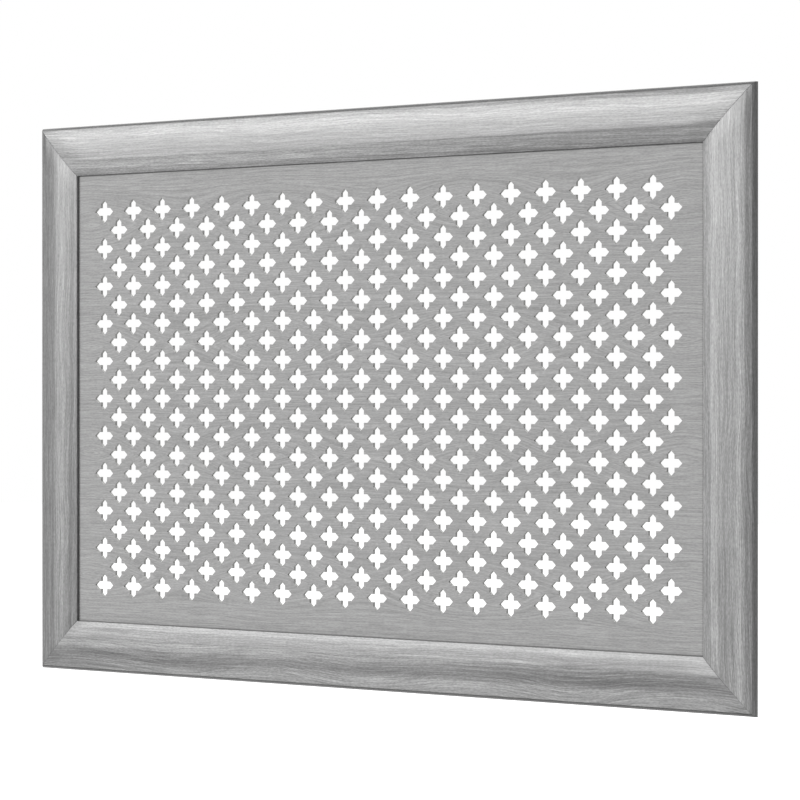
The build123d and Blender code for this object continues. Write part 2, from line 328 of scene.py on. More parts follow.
class BoardSettings(bpy.types.PropertyGroup):
    """Perforation of the board and its colours."""

    pitch: length("Pitch", "Distance between two holes of a column", 40.9 * MM)
    plain_border: length("Plain border", "Least distance of a hole from the opening", 36.0 * MM)
    arm_width: length("Arm width", "Width of a hole's arm", 8.4 * MM)
    side_reach: length("Side reach", "Centre of a hole to where an arm's sides end", 8.55 * MM)
    point_angle: angle("Point angle", "Angle between an arm's pointed sides and its axis", 45.0)
    edge_easing: length("Edge easing", "Width of the eased edge round a hole", 0.08 * MM)
    waver: length("Waver", "How far the grain's small waves reach", 5.0 * MM)
    repeat: length("Repeat", "Distance after which the print comes back", 249.5 * MM)
    oval_place: length("Oval place", "Place of an oval from the screen's middle", 122.7 * MM)
    oval_rise: length("Oval rise", "How much closer the rings lie between two ovals", 23.0 * MM)
    oval_fade: length("Oval fade", "Distance over which the rings become level again", 25.0 * MM)
    oval_lift: length("Oval lift", "How far above an oval's middle its rings bend most", 4.0 * MM)
    oval_soft: length("Oval soft", "Half thickness of an oval's middle", 1.5 * MM)
    oval_power: number("Oval power", "How round an oval's points are", 0.7)
    ring: length("Ring", "Distance between two rings", 3.6 * MM)
    ring_drift: number("Ring drift", "Rings that the drifting noise shifts the others by", 4.0)
    row_change: number("Row change", "How much the fine print changes from row to row", 15.0)
    grain_depth: length("Grain depth", "Depth of the grain's bump", 0.01 * MM)
    # Painted shade on the board along the moulding's lip: its tone and its widths
    painted_shade_tone: number("Shade tone", "Tone of the board at the moulding's lip", 0.35)
    painted_shade_width: length("Shade width", "Width of that shade at the two rails", 1.5 * MM)
    side_painted_shade_width: length("Side shade width", "Width of that shade at the two stiles", 3.4 * MM)
    repeat_start: length("Repeat start", "Height at which a repeat starts", 142.5 * MM)
    tint: colour("Tint", "Middle tone of the print", (0.33, 0.329, 0.328))
    cut_tint: colour("Cut tint", "Tone of the holes' walls", (0.46, 0.46, 0.45))
    back_tint: colour("Back tint", "Tone of the back", (0.30, 0.255, 0.20))
    roughness: number("Roughness", "Roughness of the print", 0.62)
    gloss: number("Gloss", "Specular level of the print", 0.3)


class HardwareSettings(bpy.types.PropertyGroup):
    """Colours of what the back shows."""

    core_tint: colour("Core tint", "Fibreboard of the moulding", (0.32, 0.19, 0.093))
    mitre_line: length("Mitre line", "Half width of the line that a mitre shows", 0.6 * MM)
    mitre_tone: number("Mitre tone", "Tone of that line", 0.35)
    steel_tint: colour("Steel tint", "Nails and framing points", (0.40, 0.41, 0.42))
    zinc_tint: colour("Zinc tint", "Hangers and their screws", (0.56, 0.57, 0.58))
    steel_roughness: number("Steel roughness", "Roughness of nails and points", 0.42)
    zinc_roughness: number("Zinc roughness", "Roughness of hangers and screws", 0.34)


class StageSettings(bpy.types.PropertyGroup):
    """Floor, lamps and camera."""

    floor_drop: length("Floor drop", "Distance of the floor below the screen", 0.55)
    floor_size: length("Floor size", "Side of the floor", 30.0)
    floor_tint: colour("Floor tint", "Colour of the floor", (0.62, 0.62, 0.62))
    floor_lift: number("Floor lift", "White that the camera sees on the near floor", 0.75)
    near: length("Near", "Distance within which the floor has only that white", 1.2)
    far: length("Far", "Distance beyond which the floor is wholly white", 3.6)
    ambient: number("Ambient", "Strength of the light from all round", 0.16)
    key_azimuth: angle("Key azimuth", "Place of the key lamp, from the front to the right", -31.0)
    key_elevation: angle("Key elevation", "Height of the key lamp", 16.0)
    key_distance: length("Key distance", "Distance of the key lamp", 20.0)
    key_width: length("Key width", "Width of the key lamp", 13.8)
    key_height: length("Key height", "Height of the key lamp's face", 8.3)
    key_power: number("Key power", "Watts of the key lamp", 3740.0)
    rear_elevation: angle("Rear elevation", "Height of the lamp behind the screen", 44.0)
    rear_distance: length("Rear distance", "Distance of the lamp behind the screen", 6.0)
    rear_size: length("Rear size", "Side of the lamp behind the screen", 3.0)
    rear_power: number("Rear power", "Watts of the lamp behind the screen", 450.0)
    camera_place: FloatVectorProperty(
        name="Camera place",
        description="Where the camera stands",
        default=(1.8309, -2.5284, 0.0055),
        subtype="XYZ",
        unit="LENGTH",
    )
    camera_turn: angle("Camera turn", "Turn of the camera to the left", 35.37)
    camera_drop: angle("Camera drop", "How far the camera looks below the horizon", 0.1225)
    camera_lens: number("Camera lens", "Focal length on a sensor 36 mm wide", 136.57)


class ScreenSettings(bpy.types.PropertyGroup):
    """All settings of the radiator screen."""

    moulding: PointerProperty(type=MouldingSettings)
    board: PointerProperty(type=BoardSettings)
    hardware: PointerProperty(type=HardwareSettings)
    stage: PointerProperty(type=StageSettings)


# Materials


class Value:
    """A number that a node gives. Arithmetic with it adds Math nodes to its tree."""

    def __init__(self, socket):
        self.socket = socket

    def math(self, operation, *others):
        """Result of a Math node on this number and up to two others."""
        node = add(self.socket.id_data, "ShaderNodeMath", {"operation": operation})
        for value, socket in zip((self, *others), node.inputs):
            connect(value, socket)
        return Value(node.outputs[0])

    def spread(self, low, high, to_low, to_high):
        """The number mapped smoothly from one range to another, which it doesn't leave."""
        limits = {"From Min": low, "From Max": high, "To Min": to_low, "To Max": to_high}
        kind = {"interpolation_type": "SMOOTHSTEP"}
        node = add(self.socket.id_data, "ShaderNodeMapRange", kind, Value=self, **limits)
        return Value(node.outputs["Result"])

    def __add__(self, other):
        return self.math("ADD", other)

    def __sub__(self, other):
        return self.math("SUBTRACT", other)

    def __rsub__(self, other):
        return self * -1.0 + other

    def __mul__(self, other):
        return self.math("MULTIPLY", other)

    def __truediv__(self, other):
        return self.math("DIVIDE", other)

    def __abs__(self):
        return self.math("ABSOLUTE")

    __radd__ = __add__
    __rmul__ = __mul__


def add(tree, kind, settings=None, **inputs):
    """Adds a node with its inputs by name: a constant, or another node's output to link."""
    node = tree.nodes.new(kind)
    for name, value in (settings or {}).items():
        setattr(node, name, value)
    for name, value in inputs.items():
        connect(value, node.inputs[name])
    return node


def connect(value, socket):
    """Links an output to a socket, or sets the socket's own value."""
    value = getattr(value, "socket", value)
    if isinstance(value, bpy.types.NodeSocket):
        socket.id_data.links.new(value, socket)
    else:
        socket.default_value = value


def empty_tree(block):
    """The node tree of a material or world, without its first nodes."""
    block.use_nodes = True
    block.node_tree.nodes.clear()
    return block.node_tree


def plain_material(name, roughness, gloss=0.5, metallic=0.0):
    """A material and its Principled shader."""
    material = bpy.data.materials.new(name)
    tree = empty_tree(material)
    shader = add(tree, "ShaderNodeBsdfPrincipled", Roughness=roughness, Metallic=metallic)
    shader.inputs["Specular IOR Level"].default_value = gloss
    add(tree, "ShaderNodeOutputMaterial", Surface=shader.outputs[0])
    return material, shader


def object_place(tree):
    """The place of a point in the screen's own frame."""
    return add(tree, "ShaderNodeTexCoord").outputs["Object"]


def parted(place):
    """The three numbers of a place."""
    parts = add(place.id_data, "ShaderNodeSeparateXYZ", Vector=place).outputs
    return [Value(part) for part in parts]


def placed(x, y, z=0.0):
    """A place from three numbers."""
    return add(x.socket.id_data, "ShaderNodeCombineXYZ", X=x, Y=y, Z=z).outputs[0]


def clouds(place, scale, detail):
    """Noise from 0 to 1 that is the same in all directions."""
    node = add(place.id_data, "ShaderNodeTexNoise", Vector=place, Scale=scale, Detail=detail)
    return Value(node.outputs[0])


def noise(place, along, across, detail, roughness, shift, dimensions="2D"):
    """Noise from 0 to 1 whose features are about along by across metres on a flat print."""
    tree = place.id_data
    corner = (shift, shift, 0.0)
    scale = (1 / along, 1 / across, 1.0)
    mapped = add(tree, "ShaderNodeMapping", Vector=place, Location=corner, Scale=scale)
    kind = {"noise_dimensions": dimensions}
    sizes = {"Scale": 1.0, "Detail": detail, "Roughness": roughness}
    node = add(tree, "ShaderNodeTexNoise", kind, Vector=mapped.outputs[0], **sizes)
    return Value(node.outputs[0])


def paint(shader, tint, tone):
    """Gives a shader the tint times a tone as its colour."""
    node = add(shader.id_data, "ShaderNodeVectorMath", {"operation": "SCALE"}, Scale=tone)
    node.inputs[0].default_value = tint
    connect(node.outputs[0], shader.inputs["Base Color"])


def emboss(shader, height, depth):
    """Gives a shader a bump of that depth, in metres, from a height of 0 to 1."""
    bump = add(shader.id_data, "ShaderNodeBump", Height=height, Distance=depth, Strength=1.0)
    connect(bump.outputs[0], shader.inputs["Normal"])


def toned(layers, tones):
    """Product of the tones that noises give, by their names."""
    return prod(layers[name].spread(*ranges) for name, ranges in tones.items())


def banded(across, bands):
    """Tone of a print's bands by the place across it, in millimetres, with blended edges."""
    # the bands hold print and also painted light and shade of the face's stretches
    tone = bands[0][1]
    for (edge, this_tone), (_, next_tone) in zip(bands, bands[1:]):
        tone += across.spread(edge - BAND_BLEND, edge + BAND_BLEND, 0.0, next_tone - this_tone)
    return tone


def patched(along, across, feather, patches):
    """Tone of a print's soft oval patches, whose edges run out along the grain.

    A patch fades with the squared distance from its middle, in its half sizes, plus a share of
    the grain's noise.
    """
    tone = 1.0
    for place, inward, half_length, half_width, patch_tone in patches:
        ahead = (along - place) / half_length
        aside = (across - inward) / half_width
        reach = ahead * ahead + aside * aside + feather * PATCH_FEATHER
        tone *= reach.spread(*PATCH_EDGE, patch_tone, 1.0)
    return tone


def arched(arches, along, inward):
    """How far outward a side's print is moved: half a cosine wave times a reach.

    The reach goes evenly from its value at the outer edge to the one at the lip.
    """
    turn = (along - arches.place) * (2 * pi / arches.repeat)
    change = (arches.inner_reach - arches.outer_reach) / RAIL_WIDTH
    return turn.math("COSINE") / 2 * (inward * change + arches.outer_reach)


def film_material(settings, side):
    """Grey wood print on satin film, with its grain along U and its section along V.

    The broad bands follow the drift but only a share of the rest, so that their edges stay
    straighter. Besides print, they hold painted light and shade: stretches of the face lighter or
    darker by how they slope, changing at the breaks. The outer side's round gets painted shade.
    """
    material, shader = plain_material(f"{side}_print", settings.roughness, settings.gloss)
    tree = material.node_tree
    roll = PRINTS[side]
    place = add(tree, "ShaderNodeUVMap", {"uv_map": "grain"}).outputs[0]
    along, inward, _ = parted(place)
    from_middle = along - roll.roll_place
    straight = from_middle * roll.drift + inward
    wander = (noise(place, *FILM_WANDER) - 0.5) * roll.wandering
    ripple = (noise(place, *FILM_RIPPLE) - 0.5) * settings.ripple
    across = straight + wander + ripple + arched(roll.arches, from_middle, inward)
    broad = across * settings.band_wave + straight * (1 - settings.band_wave)
    flow = placed(along, across)

    layers = {name: noise(flow, *sizes) for name, sizes in FILM_GRAIN.items()}
    rings = across / settings.ring + layers["drift"] * settings.ring_drift
    layers["rings"] = rings.math("FRACT")
    joint = Value(add(tree, "ShaderNodeAttribute", {"attribute_name": "joint"}).outputs["Fac"])
    # bands of print and of painted light and shade by the face's slope
    tone = banded(broad / MM, roll.bands)
    tone *= patched(from_middle, inward / MM, layers["streaks"], roll.patches)
    # painted shade on the outer side's round, darker on the top and bottom rails
    tone *= inward.spread(settings.edge_shade_start, settings.edge_shade_end, roll.painted_edge_shade, 1.0)
    tone *= joint.spread(0.0, 1.0, 1.0, settings.joint_tone)
    paint(shader, settings.tint, tone * toned(layers, FILM_TONES))
    emboss(shader, layers["lines"], settings.grain_depth)
    return material


def oval_figure(settings, along, height):
    """Two places on the board's print: the distance to the middle of the ovals and a bent height.

    With k the sine squared of the place in the repeat, raised to a power, and e the sum over the
    rows of exp(-(distance / fade) squared), the first is the distance to the nearest row plus
    rise times k times e. Its level lines are ovals near a row and level lines away from it. The
    second is the height moved away from each row by the same amount.
    """
    wave = ((along - settings.oval_place) * (pi / settings.repeat)).math("SINE")
    rise = (wave * wave).math("POWER", settings.oval_power) * settings.oval_rise
    nearest = 1.0
    fades = 0.0
    moves = 0.0
    for row in OVALS:
        off = height - row
        distance = (off * off + settings.oval_soft**2).math("SQRT")
        nearest = distance.math("MINIMUM", nearest)
        lifted = off - settings.oval_lift
        fade = (lifted * lifted / -settings.oval_fade**2).math("EXPONENT")
        fades += fade
        moves += off.math("SIGN") * fade
    return rise * fades + nearest, rise * moves + height


def down_the_repeat(settings, height):
    """Distance of a height down from the start of its repeat, in millimetres."""
    repeats = (settings.repeat_start - height) / settings.repeat
    return repeats.math("FRACT") * (settings.repeat / MM)


def painted_lip_shade(settings, along, height):
    """Painted shade in the board's tone next to the moulding's lip, standing in for the little
    light that comes there.
    """
    from_side = HALF_WIDTH - RAIL_WIDTH - abs(along)
    from_end = HALF_HEIGHT - RAIL_WIDTH - abs(height)
    sides = from_side.spread(0.0, settings.side_painted_shade_width, settings.painted_shade_tone, 1.0)
    return from_end.spread(0.0, settings.painted_shade_width, settings.painted_shade_tone, 1.0) * sides


def print_material(settings):
    """Grey wood print on the board's front: grain along X, and rows of long ovals in its figure."""
    material, shader = plain_material("printed_board", settings.roughness, settings.gloss)
    along, _, level = parted(object_place(material.node_tree))
    flat = placed(along, level)
    height = (noise(flat, *BOARD_WAVER) - 0.5) * settings.waver + level
    ringed, bent = oval_figure(settings, along, height)
    flow = placed(along, ringed, height * settings.row_change)
    layers = {name: noise(flow, *sizes, "3D") for name, sizes in BOARD_FIGURE.items()}
    layers |= {name: noise(flat, *sizes) for name, sizes in BOARD_GRAIN.items()}

    beside = (along - settings.oval_place).math("PINGPONG", settings.repeat / 2)
    tone = patched(beside, down_the_repeat(settings, height), layers["drift"], FIGURE_SPOTS)
    down = down_the_repeat(settings, bent)
    for middle, half_width, band_tone in FIGURE_BANDS:
        tone *= abs(down - middle).spread(0.0, half_width, band_tone, 1.0)
    rings = ringed / settings.ring + layers["drift"] * settings.ring_drift
    rings = rings.math("FRACT").spread(*BOARD_RINGS)
    tone *= rings * layers["strength"].spread(*RING_STRENGTH) + 1.0
    # painted shade next to the moulding's lip
    tone *= painted_lip_shade(settings, along, level)
    paint(shader, settings.tint, tone * toned(layers, BOARD_TONES))
    emboss(shader, layers["lines"], settings.grain_depth)
    return material


def fibre_material(name, tint, contrast, grain, marks=None):
    """Pressed wood fibre: mottling in two sizes, the fine one also as a bump.

    Marks are a function that gives the tone of lines drawn on the fibre at a place.
    """
    material, shader = plain_material(name, FIBRE_ROUGHNESS, FIBRE_GLOSS)
    place = object_place(material.node_tree)
    fine = clouds(place, 1 / grain, NOISE_DETAIL)
    wide = clouds(place, MOTTLE_SCALE / grain, MOTTLE_DETAIL)
    wide_contrast = contrast * MOTTLE_SHARE
    tone = fine.spread(*CLOUDING, 1 - contrast, 1 + contrast)
    tone *= wide.spread(*CLOUDING, 1 - wide_contrast, 1 + wide_contrast)
    if marks:
        tone *= marks(place)
    paint(shader, tint, tone)
    emboss(shader, fine, grain * FIBRE_BUMP)
    return material


def core_material(settings):
    """Pressed wood fibre whose four mitres show as fine lines, seen on the back."""

    def mitre_lines(place):
        """A mitre lies where the distances to the nearest upright and level edges are the same."""
        x, _, z = parted(place)
        away = abs((HALF_WIDTH - abs(x)) - (HALF_HEIGHT - abs(z)))
        return away.spread(0.0, settings.mitre_line, settings.mitre_tone, 1.0)

    tint = settings.core_tint
    name = "moulding_fibreboard"
    return fibre_material(name, tint, contrast=0.14, grain=0.7 * MM, marks=mitre_lines)


def metal_material(name, tint, roughness, grain):
    """Plated or bare steel: faint clouding in its roughness and tone, and a slight bump."""
    material, shader = plain_material(name, roughness, metallic=1.0)
    cloud = clouds(object_place(material.node_tree), 1 / grain, NOISE_DETAIL)
    paint(shader, tint, cloud.spread(*CLOUDING, *METAL_TONES))
    dull, bright = (roughness + change for change in METAL_DULLING)
    connect(cloud.spread(*CLOUDING, dull, bright), shader.inputs["Roughness"])
    emboss(shader, cloud, grain * METAL_BUMP)
    return material


def recolour(node, material):
    """Gives a carried-over node its material through its own slots."""
    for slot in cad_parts[node].material_slots:
        slot.link = "OBJECT"
        slot.material = material


# Shapes


def make_piece(name, points, faces, materials, face_materials=None):
    """A mesh object from whole arrays: points by three, faces by four."""
    mesh = bpy.data.meshes.new(name)
    mesh.from_pydata(points.reshape(-1, 3).tolist(), [], faces.reshape(-1, 4).tolist())
    for material in materials:
        mesh.materials.append(material)
    if face_materials is not None:
        mesh.polygons.foreach_set("material_index", face_materials)
    mesh.update()
    piece = bpy.data.objects.new(name, mesh)
    bpy.context.scene.collection.objects.link(piece)
    return piece


def grid_faces(rows, columns):
    """Quads of a grid of rows by columns points, by their numbers."""
    number_of = np.arange(rows * columns).reshape(rows, columns)
    low = number_of[:-1]
    high = number_of[1:]
    return np.stack([low[:, :-1], low[:, 1:], high[:, 1:], high[:, :-1]], axis=-1).reshape(-1, 4)


def arc(centre, radius, start, end, count):
    """Points on a circle about a centre, from one angle to another."""
    turn = np.linspace(start, end, count)
    return np.stack([centre[0] + radius * np.cos(turn), centre[1] + radius * np.sin(turn)], 1)


def round_side(settings, shoulder):
    """The outer side's round, upright at its foot, and the arris between it and the face.

    The arris is an arc about the point that lies its radius inside both the round and the
    straight stretch that ends at the shoulder.
    """
    slope = settings.shoulder_slope
    way = np.array([cos(slope), sin(slope)])
    square = np.array([-sin(slope), cos(slope)])
    centre = np.array([settings.side_radius, 0.0])
    seen = shoulder - settings.arris_radius * square - centre
    along = seen @ way
    inner_radius = settings.side_radius - settings.arris_radius
    seen = seen - (along + sqrt(along**2 - seen @ seen + inner_radius**2)) * way
    turn = atan2(seen[1], seen[0])
    side = arc(centre, settings.side_radius, pi, turn, SIDE_POINTS)
    arris_end = pi / 2 + slope
    arris = arc(centre + seen, settings.arris_radius, turn, arris_end, ARRIS_POINTS)
    return np.concatenate([side, arris[1:]])


def film_section(settings):
    """Finished face of the moulding as distances inward and heights, foot to foot.

    The face is a straight slope from the outer side whose slope changes at each break; a change
    is eased as a hyperbola, half of x plus the root of x squared plus the easing squared. An arc
    tangent to the last slope and to the upright side at the board rounds the lip.
    """
    inclines = (
        settings.shoulder_slope,
        settings.outer_slope,
        settings.crest_slope,
        -settings.inner_slope,
        -settings.lip_slope,
    )
    slopes = np.tan(inclines)
    runs = np.array([settings.shoulder_run, settings.outer_run, settings.crest_run])
    breaks = np.append(np.cumsum(runs), RAIL_WIDTH - settings.lip_run)
    edge_height = RIDGE_HEIGHT - (runs * slopes[:3]).sum()

    def height(inward):
        past = inward[:, None] - breaks
        eased = (past + np.sqrt(past**2 + settings.easing**2)) / 2
        return edge_height + slopes[0] * inward + eased @ np.diff(slopes)

    edge = round_side(settings, np.array([breaks[0], edge_height + slopes[0] * breaks[0]]))
    radius = settings.lip_radius
    lip_height = height(np.array([RAIL_WIDTH]))[0]
    drop = np.hypot(1.0, slopes[4]) + slopes[4]
    lip_centre = (RAIL_WIDTH - radius, lip_height - radius * drop)
    lip = arc(lip_centre, radius, pi / 2 + inclines[4], 0.0, LIP_POINTS)
    count = int((lip[0, 0] - edge[-1, 0]) / settings.face_step)
    inward = np.linspace(edge[-1, 0], lip[0, 0], count)[1:-1]
    face = np.stack([inward, height(inward)], 1)
    lip_foot = np.array([(RAIL_WIDTH, settings.lip_foot)])
    return np.concatenate([edge, face, lip, lip_foot])


def inner_side(section, thickness):
    """The section moved inward by the film's thickness, square to it at each point."""
    way = np.gradient(section, axis=0)
    way /= np.linalg.norm(way, axis=1)[:, None]
    inner = section + thickness * np.stack([way[:, 1], -way[:, 0]], 1)
    inner[0] = section[0] + (thickness, 0.0)
    inner[-1] = section[-1] - (thickness, 0.0)
    return inner


def stations_along(settings):
    """Where the cross sections of a side stand, as a share, a distance and a nearness for each.

    The share of the side's length goes from -1 at one mitre to 1 at the other. The stations of
    the eased edge share the mitre's and stand back from it by the distance, and their nearness
    goes from 1 at the mitre to 0 at the last of them.
    """
    nearness = np.linspace(1.0, 0.0, JOINT_STATIONS)
    back = settings.joint_width * (1 - nearness)
    at_mitre = np.ones(JOINT_STATIONS)
    shares = np.linspace(-1.0, 1.0, settings.stations)[1:-1]
    return (
        np.concatenate([-at_mitre, shares, at_mitre]),
        np.concatenate([back, 0 * shares, -back[::-1]]),
        np.concatenate([nearness, 0 * shares, nearness[::-1]]),
    )


def closed_strip_faces(stations, around):
    """Faces of a strip whose every station is a loop: its sides and its two end caps.

    A loop is a line of points and a second line back beside it, which the caps' quads join.
    """
    points = np.arange(stations * around).reshape(stations, around)
    closed = np.concatenate([points, points[:, :1]], axis=1)
    sides = closed.reshape(-1)[grid_faces(stations, around + 1)]
    pairs = np.arange(around // 2)
    cap = np.stack([pairs[:-1], pairs[1:], around - 1 - pairs[1:], around - 1 - pairs[:-1]], 1)
    far_cap = cap[:, ::-1] + (stations - 1) * around
    return np.concatenate([sides, cap, far_cap])


def print_places(name, settings, section, reach):
    """Each point's place on its print: along the roll, and inward along the section.

    The second is counted so that it is the plain distance inward where the lip's round starts.
    """
    run = np.append(0.0, np.cumsum(np.linalg.norm(np.diff(section, axis=0), axis=1)))
    lip_start = np.argmax(section[:, 0] > RAIL_WIDTH - settings.lip_radius)
    run += section[lip_start, 0] - run[lip_start]
    across = np.broadcast_to(np.concatenate([run, run[::-1]]), reach.shape)
    return np.stack([reach + PRINTS[name].roll_place, across], axis=-1).reshape(-1, 2)


def film_strip(name, settings, material):
    """Film on one side of the frame: the section carried along it between its two mitres.

    A point is outward times (half across - inward) + front times height + along times reach. The
    reach is a share of half the length less the inward distance, so that the ends lie on the
    mitres. At the eased edge of a joint the face dips by the joint's depth times the nearness
    squared.
    """
    direction, half_length, half_across = SIDES[name]
    outward = np.array(direction)
    along = np.cross(outward, FRONT)
    section = film_section(settings)
    inner = inner_side(section, settings.thickness)
    share, back, nearness = stations_along(settings)
    dips = settings.joint_depth / settings.thickness * nearness[:, None, None] ** 2

    outer = section + dips * (inner - section)
    loop = np.concatenate([outer, np.broadcast_to(inner[::-1], outer.shape)], axis=1)
    inward, height = loop[..., :1], loop[..., 1:]
    reach = share[:, None] * (half_length - loop[..., 0]) + back[:, None]
    points = outward * (half_across - inward) + FRONT * height + along * reach[..., None]
    piece = make_piece(f"{name}_film", points, closed_strip_faces(*reach.shape), [material])

    lay_grain(piece, print_places(name, settings, section, reach))
    joint = piece.data.attributes.new("joint", "FLOAT", "POINT")
    joint.data.foreach_set("value", np.repeat(nearness, reach.shape[1]))
    outward_faces(piece)
    piece.data.shade_smooth()
    piece.data.set_sharp_from_angle(angle=SHARP_ANGLE)
    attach(piece, BODY)
    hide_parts(f"{name}_foil")


def lay_grain(piece, grain):
    """Writes a point's place on the print to the map named grain, the same for all its faces."""
    mesh = piece.data
    corners = np.empty(len(mesh.loops), dtype=np.int32)
    mesh.loops.foreach_get("vertex_index", corners)
    mesh.uv_layers.new(name="grain").data.foreach_set("uv", grain[corners].reshape(-1))


def outward_faces(piece):
    """Merges the seams of a closed mesh and points its faces outward."""
    work = bmesh.new()
    work.from_mesh(piece.data)
    bmesh.ops.remove_doubles(work, verts=work.verts, dist=SAME_PLACE)
    bmesh.ops.recalc_face_normals(work, faces=work.faces)
    open_edges = sum(not edge.is_manifold for edge in work.edges)
    work.to_mesh(piece.data)
    work.free()
    if open_edges:
        raise RuntimeError(f"{piece.name} has {open_edges} open edges")


def cross_outline(settings, growth):
    """Sixteen corners of a pointed cross about its centre, each side moved outward by growth."""
    arm = settings.arm_width / 2 + growth
    reach = settings.side_reach + growth * tan(settings.point_angle / 2)
    tip = reach + arm / tan(settings.point_angle)
    quarter = np.array([(tip, 0.0), (reach, arm), (arm, arm), (arm, reach)])
    turns = np.arange(4) * pi / 2
    spin = np.array([[np.cos(turns), -np.sin(turns)], [np.sin(turns), np.cos(turns)]])
    return np.einsum("ijt,qj->tqi", spin, quarter).reshape(-1, 2)


def column_heights(top, pitch):
    """Heights from -top to top, a pitch apart."""
    return np.linspace(-top, top, round(2 * top / pitch) + 1)


def hole_centres(settings):
    """Centres of the holes, and the place and the height of the top hole of each column.

    Columns stand half a pitch apart and their holes alternate. There are as many as the plain
    border leaves room for.
    """
    spare_width = 2 * (HALF_WIDTH - RAIL_WIDTH - settings.plain_border)
    spare_height = 2 * (HALF_HEIGHT - RAIL_WIDTH - settings.plain_border)
    columns = int(spare_width / (settings.pitch / 2)) + 1
    full_rows = int(spare_height / settings.pitch) + 1
    across = (np.arange(columns) - (columns - 1) / 2) * settings.pitch / 2
    tops = (full_rows - np.arange(columns) % 2 - 1) / 2 * settings.pitch
    centres = []
    for place, top in zip(across, tops):
        heights = column_heights(top, settings.pitch)
        centres.append(np.column_stack([np.full(len(heights), place), heights]))
    return np.concatenate(centres), across, tops


def zigzag(corners, fractions):
    """A broken line with the same fractions marked on each of its stretches."""
    starts = corners[:-1, None]
    stretches = np.diff(corners, axis=0)[:, None]
    marks = (starts + fractions[:, None] * stretches).reshape(-1, 2)
    return np.concatenate([marks, corners[-1:]])


def strip_quads(line, target, axis):
    """Quads from a line to its shadow on a straight edge, where one coordinate is the target."""
    shadow = line.copy()
    shadow[:, axis] = target
    return np.stack([line[:-1], line[1:], shadow[1:], shadow[:-1]], axis=1)


def board_border(settings, across, tops):
    """Plan quads between the outermost diamonds and the board's rectangle.

    The edge of the diamonds is a zigzag over the tips of the outermost holes' cells. Each of its
    stretches is joined straight to the nearest side of the rectangle, and four corners are left.
    """
    half = settings.pitch / 2
    outline = np.abs(cross_outline(settings, 0.0)[:4])
    fractions = outline[:, 1] / outline.sum(axis=1)
    left, right = across[0] - half, across[-1] + half
    tips = np.stack([across, tops + half], 1)
    upper = np.concatenate([[(left, tops[0])], tips, [(right, tops[-1])]])
    upper = zigzag(upper, fractions)
    quads = [strip_quads(upper, BOARD_HIGH.z, 1)]
    quads.append(strip_quads(upper * (1, -1), BOARD_LOW.z, 1))
    for side, top, edge in ((left, tops[0], BOARD_LOW.x), (right, tops[-1], BOARD_HIGH.x)):
        heights = np.linspace(-top, top, 2 * round(2 * top / settings.pitch) + 1)
        inward = np.where(np.arange(len(heights)) % 2 == 0, 0.0, -np.sign(side) * half)
        upright = zigzag(np.stack([side + inward, heights], 1), fractions)
        quads.append(strip_quads(upright, edge, 0))
        for limit, height in ((BOARD_HIGH.z, top), (BOARD_LOW.z, -top)):
            corner = [(side, height), (edge, height), (edge, limit), (side, limit)]
            quads.append(np.array([corner]))
    return np.concatenate(quads)


def rim_quads(settings, across, tops):
    """Plan of the board's own edge as stretches of two points, for its four upright sides."""
    starts = board_border(settings, across, tops)
    ends = np.roll(starts, -1, axis=1)
    on_side = np.isclose(np.abs(starts), (BOARD_HIGH.x, BOARD_HIGH.z), atol=SAME_PLACE)
    on_side &= np.isclose(starts, ends, atol=SAME_PLACE)
    kept = on_side.any(axis=-1)
    return np.stack([starts[kept], ends[kept]], axis=1)


def raised(plan, depth):
    """Plan points set at a depth, a number or one for each."""
    depth = np.broadcast_to(depth, plan.shape[:-1])
    return np.stack([plan[..., 0], depth, plan[..., 1]], axis=-1)


def board_piece(settings, materials):
    """The perforated board: a diamond cell round each hole, and a border out to its edges.

    In a cell each of a hole's sixteen corners is joined straight out to the diamond, at the front
    and at the back, and straight through the board, with an eased edge at the front.
    """
    centres, across, tops = hole_centres(settings)
    outline = cross_outline(settings, 0.0)
    eased = cross_outline(settings, settings.edge_easing)
    diamond = outline * (settings.pitch / 2 / np.abs(outline).sum(axis=1))[:, None]
    centres = centres[:, None]

    def ring(inner, inner_depth, outer, outer_depth):
        first = raised(centres + inner, inner_depth)
        second = raised(centres + outer, outer_depth)
        quads = [first, second, np.roll(second, -1, axis=1), np.roll(first, -1, axis=1)]
        return np.stack(quads, axis=2).reshape(-1, 4, 3)

    border = board_border(settings, across, tops)
    rim = rim_quads(settings, across, tops)
    front = [ring(eased, BOARD_FRONT, diamond, BOARD_FRONT), raised(border, BOARD_FRONT)]
    back = [ring(outline, BOARD_BACK, diamond, BOARD_BACK), raised(border, BOARD_BACK)]
    sunk = BOARD_FRONT + settings.edge_easing
    cut = [
        ring(eased, BOARD_FRONT, outline, sunk),
        ring(outline, sunk, outline, BOARD_BACK),
        np.concatenate([raised(rim, BOARD_FRONT), raised(rim, BOARD_BACK)[:, ::-1]], axis=1),
    ]
    groups = [np.concatenate(group) for group in (front, cut, back)]
    quads = np.concatenate(groups)
    kinds = np.repeat(np.arange(3), [len(group) for group in groups])
    faces = np.arange(len(quads) * 4)
    piece = make_piece("perforated_board", quads, faces, materials, kinds)
    outward_faces(piece)
    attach(piece, BODY)
    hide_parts("perforated_panel")


# Stage


def white_share(tree):
    """One for camera, glossy and transmission rays, nought for the others."""
    rays = add(tree, "ShaderNodeLightPath").outputs
    seen = Value(rays["Is Camera Ray"]).math("MAXIMUM", rays["Is Glossy Ray"])
    return seen.math("MAXIMUM", rays["Is Transmission Ray"])


